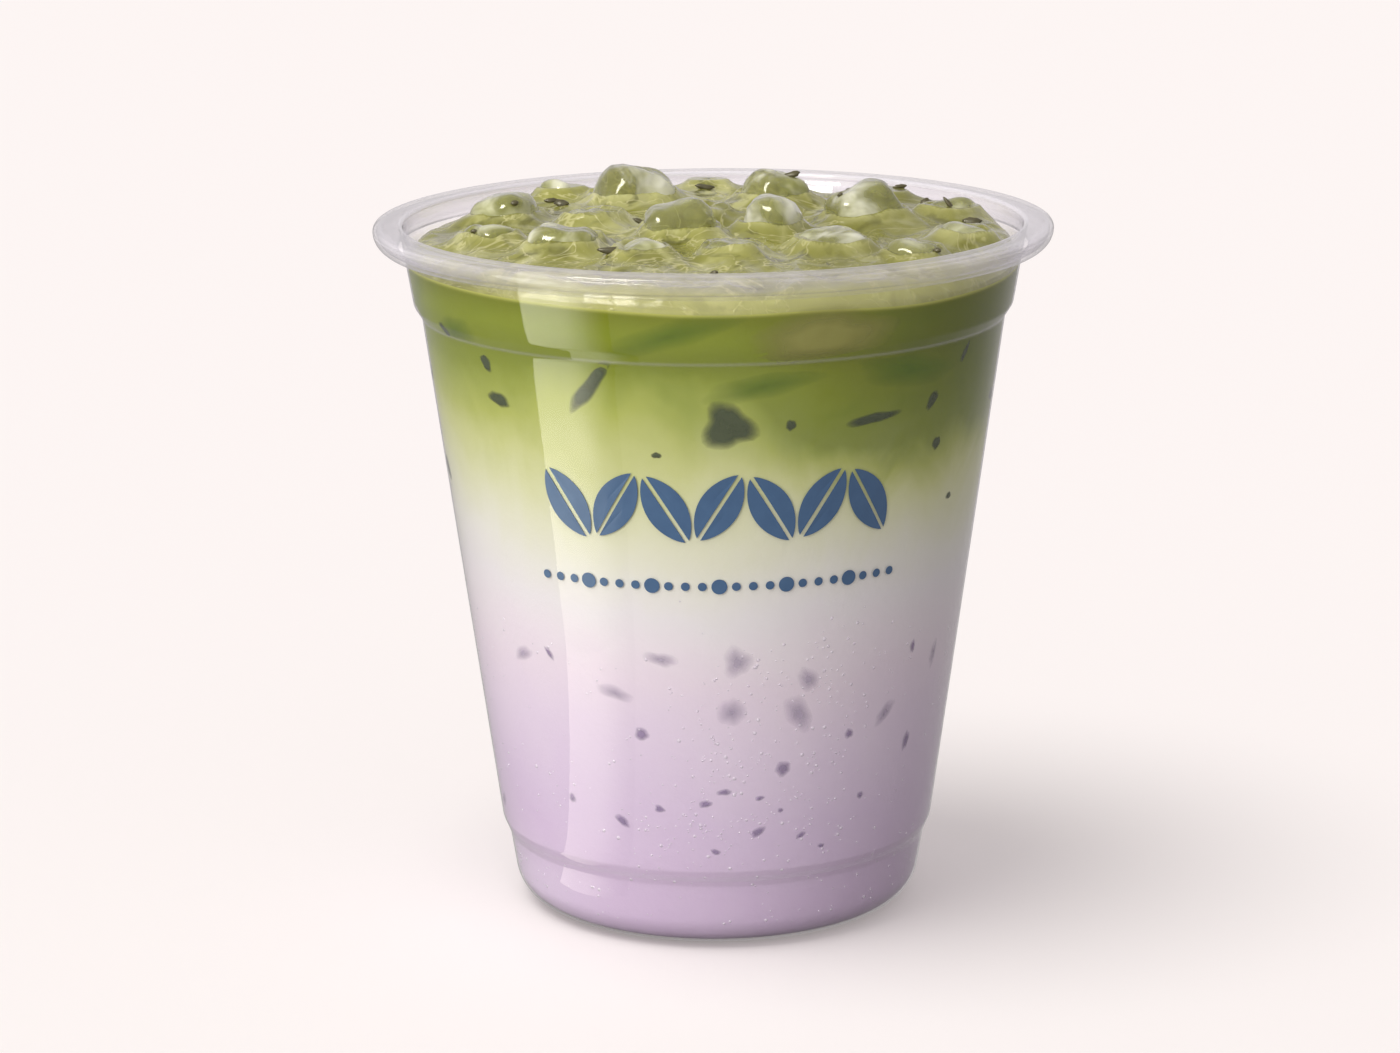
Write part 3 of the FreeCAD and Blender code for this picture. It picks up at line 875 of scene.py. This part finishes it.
# Purple crumbs low in the milk.
CRUMBS = [
    (-17.9, 33.3, 2.2, 2.4, 0, 2, 0.05), (53.0, 28.4, 1.6, 3.6, -14, 2, 0.1),
    (32.8, 32.0, 1.6, 1.8, 0, 2, 0.05), (15.8, 28.0, 2.2, 3.0, -28, 2, 0.1),
    (1.6, 24.8, 2.2, 1.2, 5, 2, 0.1), (-3.0, 23.0, 2.0, 1.4, 10, 2, 0.08),
    (-14.4, 22.0, 1.7, 1.3, -20, 3, 0.1), (-24.4, 19.6, 2.6, 1.7, -38, 2, 0.1),
    (10.3, 23.7, 1.5, 0.9, 10, 2, 0.05), (10.0, 18.5, 2.4, 1.6, 32, 2, 0.1),
    (21.3, 17.4, 1.7, 1.0, 30, 2, 0.08), (15.6, 21.6, 0.9, 0.9, 0, 2, 0.05),
    (-0.6, 15.6, 1.5, 1.1, -20, 2, 0.08), (27.2, 15.3, 1.2, 0.8, 0, 2, 0.05),
    (-38.8, 21.8, 1.2, 1.8, 20, 2, 0.08), (-41.0, 43.6, 1.0, 2.8, 40, 2, 0.08),
    (51.0, 43.0, 1.2, 2.4, 0, 2, 0.05), (38.0, 22.0, 1.2, 1.4, 0, 2, 0.1),
]

# Larger, fainter ones, deeper in.
FAINT_CRUMBS = [
    (-24.0, 39.2, 5.6, 2.6, -14, 2, 0.1), (3.3, 37.0, 4.6, 4.4, 15, 3, 0.06),
    (19.0, 36.2, 3.6, 7.2, 30, 2, 0.08), (21.0, 41.2, 3.0, 4.6, 32, 2, 0.08),
    (43.5, 34.0, 2.2, 5.4, -45, 2, 0.08), (-50.0, 42.5, 4.2, 2.6, 20, 2, 0.1),
    (4.5, 44.5, 4.4, 5.0, 0, 3, 0.08), (-12.5, 44.8, 5.0, 2.4, -8, 2, 0.1),
    (61.0, 40.5, 1.8, 5.0, -8, 2, 0.08),
]


# One blurred lump of ice, and the green swirls.
HEART = [(20.0, 91.3, 22.0, 9.0, 3, 2, 0.05)]
SWIRLS = [
    (-8.0, 92.0, 20.0, 4.6, 16, 2, 0.1), (9.0, 84.6, 17.0, 4.4, 10, 2, 0.1),
    (40.0, 85.0, 18.0, 6.0, -8, 2, 0.1), (-58.0, 89.0, 11.0, 5.0, 12, 2, 0.1),
]


def make_sunk_bits():
    """What shows through the wall; the crumbs round the back are parted into small and large."""
    sliver = soft_material("sunk_slivers", (62, 74, 54), (94, 103, 74), 0.86, 2.3)
    crumb = soft_material("sunk_crumbs", (130, 112, 148), (164, 146, 178), 0.62, 1.5)
    faint = soft_material("faint_crumbs", (156, 146, 168), (186, 174, 194), 0.5, 1.1, 300)
    slivers = SLIVERS + more_specks(16, 5, 66, 91, 1.4, 6.0)
    bits("tea_slivers", slivers, sliver, "matcha", 0.12)
    crumbs = more_specks(26, 9, 14, 44, 1.0, 3.0)
    small = [c for c in crumbs if c[2] < 2.3]
    large = [(c[0], c[1], c[2] * 1.6, c[3] * 1.6, *c[4:]) for c in crumbs if c[2] >= 2.3]
    bits("milk_crumbs", CRUMBS + small, crumb, "purple_milk", 0.12)
    bits("faint_crumbs", FAINT_CRUMBS + large, faint, "purple_milk", 0.12)
    heart = soft_material("sunk_ice", (150, 149, 66), (184, 180, 104), 0.8, 1.5, 60)
    swirl = soft_material("green_swirls", (78, 116, 22), (104, 138, 34), 0.5, 1.0, 60)
    bits("sunk_ice_heart", HEART, heart, "matcha", 0.1, 8, 40)
    bits("green_swirls", SWIRLS, swirl, "matcha", 0.07, 8, 40)


def bubbles(name, count, seed, material):
    """Fine bubbles on the inside of the wall, as tiny domes in one mesh, thickest low down."""
    rng = random.Random(seed)
    clusters = [(2, 29, 7, 6), (24, 25, 7, 5), (-6, 18, 10, 3), (9, 40, 9, 5), (30, 38, 6, 6)]
    vertices, faces = [], []
    turns, rings, dome = 10, 3, 0.12
    for number in range(count):
        if number % 3 and number < count * 0.55:
            degrees, height, wide, high = rng.choice(clusters)
            degrees += rng.gauss(0, wide)
            height += rng.gauss(0, high)
        else:
            degrees = rng.uniform(-180, 180)
            height = 3.5 + 44 * rng.random() ** 1.4
        height = min(max(height, 3.0), 60.0)
        size = 0.10 + 0.22 * rng.random() ** 3
        radius = float(wall_radius(height)) + INTO_WALL
        angle = math.radians(degrees - 90)
        start = len(vertices)
        vertices.append(on_wall(angle, height, radius + dome))
        for ring in range(1, rings + 1):
            share = ring / rings
            for step in range(turns):
                turn = 2 * math.pi * step / turns
                level = height + size * share * math.sin(turn)
                rise = dome * (1 - share ** 2) - 0.004
                side = size * share * math.cos(turn) / radius
                spot_radius = float(wall_radius(level)) + INTO_WALL + rise
                vertices.append(on_wall(angle + side, level, spot_radius))
        vertices.append(on_wall(angle, height, radius - 0.2))
        faces += dome_faces(start, rings, turns)
    own(make_object(name, vertices, faces, material), "purple_milk")


def bubble_material():
    s = Shade("milk_bubbles")
    pale = s.noise(500, 2.0, 0.5)
    colour = s.mix(pale, srgb(240, 230, 242), srgb(255, 250, 254))
    shine = s.principled(Base_Color=colour, Roughness=0.25, Coat_Weight=0.5)
    clear = s.add("ShaderNodeBsdfTransparent").outputs[0]
    return s.finish(s.blend(s.math("ADD", 0.45, s.times(pale, 0.4)), clear, shine))


# Dark flecks of tea leaf on the top: across, back, length, width, turn in degrees.
FLECKS = [
    (9.1, 6.3, 3.2, 2.0, 12), (37.6, 3.2, 2.8, 1.4, 3), (-24.1, 25.2, 2.6, 0.8, 8),
    (-22.6, 21.6, 2.2, 1.2, -20), (-14.6, -21.0, 3.0, 1.2, 3), (-1.1, 32.7, 3.0, 1.0, -4),
    (12.0, 24.5, 2.4, 1.1, 12), (31.7, 20.7, 1.9, 1.3, 50), (4.5, -8.3, 1.6, 0.9, 30),
    (21.5, 35.0, 2.0, 0.8, 0), (-28.9, 7.1, 1.2, 0.9, 0), (-27.2, 20.7, 1.0, 1.4, -15),
    (27.0, -12.0, 1.0, 0.7, 30), (-8.0, 33.0, 1.6, 0.6, 20), (14.0, 36.0, 1.3, 0.8, -30),
    (-34.0, -8.0, 1.1, 0.7, 10), (0.0, -30.0, 1.2, 0.6, 5), (31.0, -22.0, 1.3, 0.7, -20),
    (-2.5, 5.5, 0.9, 0.6, 0), (18.5, 5.0, 0.9, 0.6, 35), (-10.5, 0.1, 2.6, 0.7, -30),
    (34.5, 8.0, 2.6, 0.7, -55), (28.3, 27.5, 2.0, 0.7, 10),
]


def make_flecks(material, tree):
    """Thin crumpled leaf flecks lodged in the slush, most of them tipped up to the front."""
    rng = random.Random(21)
    vertices, faces = [], []
    turns = 14
    for across, back, length, width, turn in FLECKS:
        spot = tree.ray_cast(Vector((across, back, TOP + 20)), Vector((0, 0, -1)))[0]
        normal = Vector((0.2 * math.sin(turn), -0.75, 0.66)).normalized()
        along = Vector((math.cos(math.radians(turn)), math.sin(math.radians(turn)), 0))
        along = (along - normal * along.dot(normal)).normalized()
        aside = normal.cross(along)
        edge = [1 + 0.16 * rng.uniform(-1, 1) for _ in range(turns)]
        start = len(vertices)
        spot = spot + Vector((0, 0, 0.25 * width))
        for grow, lift in ((0.82, -0.16), (1.0, 0.06), (0.8, 0.24)):
            for step in range(turns):
                angle = 2 * math.pi * step / turns
                u = length / 2 * grow * edge[step] * math.cos(angle)
                v = width / 2 * grow * edge[step] * math.sin(angle)
                bend = lift + 0.10 * math.sin(1.7 * u + across)
                vertices.append(tuple(spot + along * u + aside * v + normal * bend))
        vertices.append(tuple(spot + normal * -0.16))
        vertices.append(tuple(spot + normal * 0.27))
        faces += ring_faces(3, turns, start)
        low = start + 3 * turns
        for step in range(turns):
            after = (step + 1) % turns
            faces.append((low, start + after, start + step))
            faces.append((low + 1, start + 2 * turns + step, start + 2 * turns + after))
    own(make_object("leaf_flecks", vertices, faces, material), "matcha")


def fleck_material():
    s = Shade("leaf_fleck")
    grain = s.noise(900, 3.0, 0.6)
    colour = s.mix(grain, srgb(40, 40, 18), srgb(92, 84, 50))
    wet = s.principled(
        Base_Color=colour, Roughness=0.45, Coat_Weight=0.2, Coat_Roughness=0.2,
        Normal=s.bump(grain, 0.0002, 0.4),
    )
    return s.finish(wet)


# ---------------- print


def patch(points_across, points_up, centre, turn):
    """A point of the print, in millimetres round the wall and up it, turned about its motif."""
    across = points_across * math.cos(turn) - points_up * math.sin(turn)
    up = points_across * math.sin(turn) + points_up * math.cos(turn)
    return centre[0] + across, centre[1] + up


def inked(vertices, faces, rim, middle):
    """Add one flat motif given its rim and middle, as a thin closed slab on the wall's outside."""
    start = len(vertices)
    count = len(rim)
    for lift in (INK_LOW, INK_HIGH):
        for across, up in [middle] + rim:
            radius = float(outer_radius(up)) + lift
            angle = across / float(outer_radius(middle[1])) - math.pi / 2
            vertices.append(on_wall(angle, up, radius))
    top = start + count + 1
    for step in range(count):
        after = (step + 1) % count
        faces.append((top, top + 1 + step, top + 1 + after))
        faces.append((start, start + 1 + after, start + 1 + step))
        faces.append((start + 1 + step, start + 1 + after, top + 1 + after, top + 1 + step))


PRINT_MIDDLE = 0.4    # how far right of the front the rows are centred
LEAVES, LEAF_PITCH, LEAF_ROW_Z = 7, 7.3, 67.0
LEAF_HALF_LENGTH, LEAF_HALF_WIDTH, VEIN = 5.4, 2.55, 0.28
DOTS, DOT_PITCH, DOT_ROW_Z = 23, 2.35, 55.8
INK_LOW, INK_HIGH = 0.005, 0.05  # both faces of the ink, over the wall's outside


def half_leaf(side, centre, turn):
    """Rim of a leaf's half beside its bare vein."""
    rim = []
    for step in range(33):
        along = -1 + 2 * step / 32
        width = LEAF_HALF_WIDTH * (1 - along ** 2) ** 0.85
        rim.append(patch(side * (VEIN + width), LEAF_HALF_LENGTH * along, centre, turn))
    for step in range(9):
        along = 1 - 2 * (step + 1) / 10
        rim.append(patch(side * VEIN, LEAF_HALF_LENGTH * along, centre, turn))
    if side < 0:
        rim.reverse()
    return rim


def make_print(material):
    """A plain ornament where a drink's name often stands: a row of leaves over a row of dots."""
    vertices, faces = [], []
    for number in range(LEAVES):
        share = number - (LEAVES - 1) / 2
        centre = (share * LEAF_PITCH + PRINT_MIDDLE, LEAF_ROW_Z + 0.35 * (number % 2))
        turn = math.radians(-32 if number % 2 else 32)
        for side in (1, -1):
            middle = patch(side * 1.3, 0, centre, turn)
            inked(vertices, faces, half_leaf(side, centre, turn), middle)
    angles = [2 * math.pi * k / 24 for k in range(24)]
    for number in range(DOTS):
        share = number - (DOTS - 1) / 2
        radius = 1.1 if number % 4 == 3 else 0.62
        centre = (share * DOT_PITCH + PRINT_MIDDLE, DOT_ROW_Z)
        rim = [(centre[0] + radius * math.cos(a), centre[1] + radius * math.sin(a)) for a in angles]
        inked(vertices, faces, rim, centre)
    own(make_object("leaf_print", vertices, faces, material, smooth=False), "cup")


def print_material():
    s = Shade("blue_ink")
    worn = s.noise(420, 4.0, 0.6)
    colour = s.mix(worn, srgb(66, 94, 128), srgb(78, 108, 142))
    rough = s.bump(worn, 0.0001, 0.2)
    ink = s.principled(Base_Color=colour, Roughness=0.35, Specular_IOR_Level=0.4, Normal=rough)
    return s.finish(ink)


# ---------------- stage


def make_floor():
    """A pale floor that fades into the backdrop. Its bounce and its mirror image are dimmer."""
    s = Shade("pale_floor")
    tone = s.times(s.noise(3.0, 2.0, 0.5), 0.01)
    colour = s.mix(tone, (0.698, 0.672, 0.653, 1), (0.708, 0.682, 0.663, 1))
    matt = s.add("ShaderNodeBsdfDiffuse", Color=colour).outputs[0]
    glow = s.add("ShaderNodeEmission", Color=(0.262, 0.240, 0.236, 1), Strength=1.0).outputs[0]
    added = s.add("ShaderNodeAddShader")
    s.tree.links.new(matt, added.inputs[0])
    s.tree.links.new(glow, added.inputs[1])
    bounce = s.add("ShaderNodeBsdfDiffuse", Color=(0.28, 0.27, 0.265, 1)).outputs[0]
    path = s.add("ShaderNodeLightPath")
    sheen = s.add("ShaderNodeEmission", Color=(0.44, 0.42, 0.42, 1), Strength=1.0).outputs[0]
    seen = s.blend(path.outputs["Is Glossy Ray"], added.outputs[0], sheen)
    material = s.finish(s.blend(path.outputs["Is Diffuse Ray"], seen, bounce))
    half = 9000
    corners = [(-half, -half, 0), (half, -half, 0), (half, half, 0), (-half, half, 0)]
    floor = make_object("floor", corners, [(0, 1, 2, 3)], material, smooth=False)
    floor.location.z = cad_low[2] - 0.00005
    return floor


def make_world():
    """Pale where it is seen directly or through the cup, dim as a light and in reflections."""
    scene.world = bpy.data.worlds.new("studio")
    s = Shade("studio", scene.world)
    path = s.add("ShaderNodeLightPath").outputs
    seen = s.math("MAXIMUM", path["Is Camera Ray"], path["Is Transmission Ray"])
    dim = s.add("ShaderNodeBackground", Color=srgb(250, 246, 250), Strength=0.52).outputs[0]
    pale = s.add("ShaderNodeBackground", Color=srgb(254, 246, 244), Strength=1.0).outputs[0]
    sheen = s.add("ShaderNodeBackground", Color=srgb(252, 247, 250), Strength=0.64).outputs[0]
    s.finish(s.blend(seen, s.blend(path["Is Glossy Ray"], dim, sheen), pale))


def make_sun(name, energy, angle, left, height):
    """A soft, unmirrored sun, its place in degrees to the left of the front and above level."""
    data = bpy.data.lights.new(name, "SUN")
    data.energy = energy
    data.angle = math.radians(angle)
    data.color = (1.0, 0.985, 0.97)
    lamp = bpy.data.objects.new(name, data)
    side = math.radians(left)
    towards = Vector((math.sin(side), math.cos(side), -math.tan(math.radians(height))))
    lamp.rotation_euler = towards.to_track_quat("-Z", "Y").to_euler()
    lamp.visible_glossy = False
    scene.collection.objects.link(lamp)
    return lamp


def leave_out(lamp, thing):
    """The lamp doesn't light this thing."""
    spared = bpy.data.collections.new("unlit_by_" + lamp.name)
    spared.objects.link(thing)
    lamp.light_linking.receiver_collection = spared
    spared.collection_objects[0].light_linking.link_state = "EXCLUDE"


def make_card(name, corners, strength, fade, low_end=1.0):
    """A glowing board seen only in reflections; fade runs from its first corner to its second."""
    s = Shade(name)
    level = s.ramp(s.attribute("share"), fade)
    rise = s.ramp(s.attribute("rise"), [(0.0, low_end), (0.7, 1.0)], "LINEAR")
    level = s.mix(1.0, level, rise, "MULTIPLY")
    level = s.mix(1.0, level, (1.0, 0.97, 0.84, 1.0), "MULTIPLY")
    glow = s.add("ShaderNodeEmission", Color=level, Strength=strength).outputs[0]
    material = s.finish(glow)
    steps = 24
    corners = [np.array(corner, float) for corner in corners]
    vertices, shares, rises = [], [], []
    for step in range(steps + 1):
        share = step / steps
        for low, high in ((corners[0], corners[1]), (corners[3], corners[2])):
            vertices.append(low + (high - low) * share)
            shares.append(share)
            rises.append(float(low is corners[3]))
    faces = [(2 * k, 2 * k + 2, 2 * k + 3, 2 * k + 1) for k in range(steps)]
    card = make_object(name, vertices, faces, material, smooth=False)
    store(card, "share", shares)
    store(card, "rise", rises)
    card.visible_camera = False
    card.visible_diffuse = False
    card.visible_shadow = False
    card.visible_transmission = False


def make_lamps(floor):
    """Two suns from the left, an upright card and its floor's glow beside the cup, and one above."""
    make_sun("key", 1.8, 38, 62, 70)
    leave_out(make_sun("fill", 2.35, 60, 37, 20), floor)
    left, front = (-105, -50), (-66, -101)
    fade = [(0.0, 1.0), (0.35, 0.9), (1.0, 0.0)]
    low, high = 0.5, 78
    upright = [(*left, low), (*front, low), (*front, high), (*left, high)]
    make_card("band_card", upright, 6.6, fade, 0.35)
    near, level = 0.33, 0.4
    inner = [(near * x, near * y, level) for x, y in (left, front)]
    make_card("band_floor", inner + [(*front, level), (*left, level)], 3.2, fade)
    above = [(-330, -230, 420), (-180, -330, 420), (-100, -200, 500), (-250, -100, 500)]
    make_card("top_card", above, 26.0, [(0.0, 1.0), (1.0, 0.8)])


def make_camera():
    data = bpy.data.cameras.new("camera")
    data.sensor_width = 36.0
    data.lens = 105.25
    data.clip_end = 50
    camera = bpy.data.objects.new("camera", data)
    pitch = math.radians(13.636)
    roll = math.radians(-0.423)
    forward = Vector((0, math.cos(pitch), -math.sin(pitch)))
    right = Vector((1, 0, 0))
    up = right.cross(forward)
    level = math.cos(roll) * right + math.sin(roll) * up
    upright = -math.sin(roll) * right + math.cos(roll) * up
    turn = Matrix((level, upright, -forward)).transposed().to_4x4()
    camera.matrix_world = Matrix.Translation(Vector((-2.202, -584.06, 196.91)) * MM) @ turn
    scene.collection.objects.link(camera)
    scene.camera = camera


DRINK_SIDE = drink_material()
SLUSH = slush_material()
ICE = ice_material()
CUP = cup_material()

make_cup(CUP)
ice = make_ice()
ice_tree = tree_of(ice)
make_layers()
matcha = make_matcha(ice_tree)
make_flecks(fleck_material(), tree_of(ice + [matcha]))
make_sunk_bits()
bubbles("milk_bubbles", 900, 3, bubble_material())
make_print(print_material())
floor = make_floor()
make_world()
make_lamps(floor)
make_camera()
scene.view_settings.view_transform = "Standard"
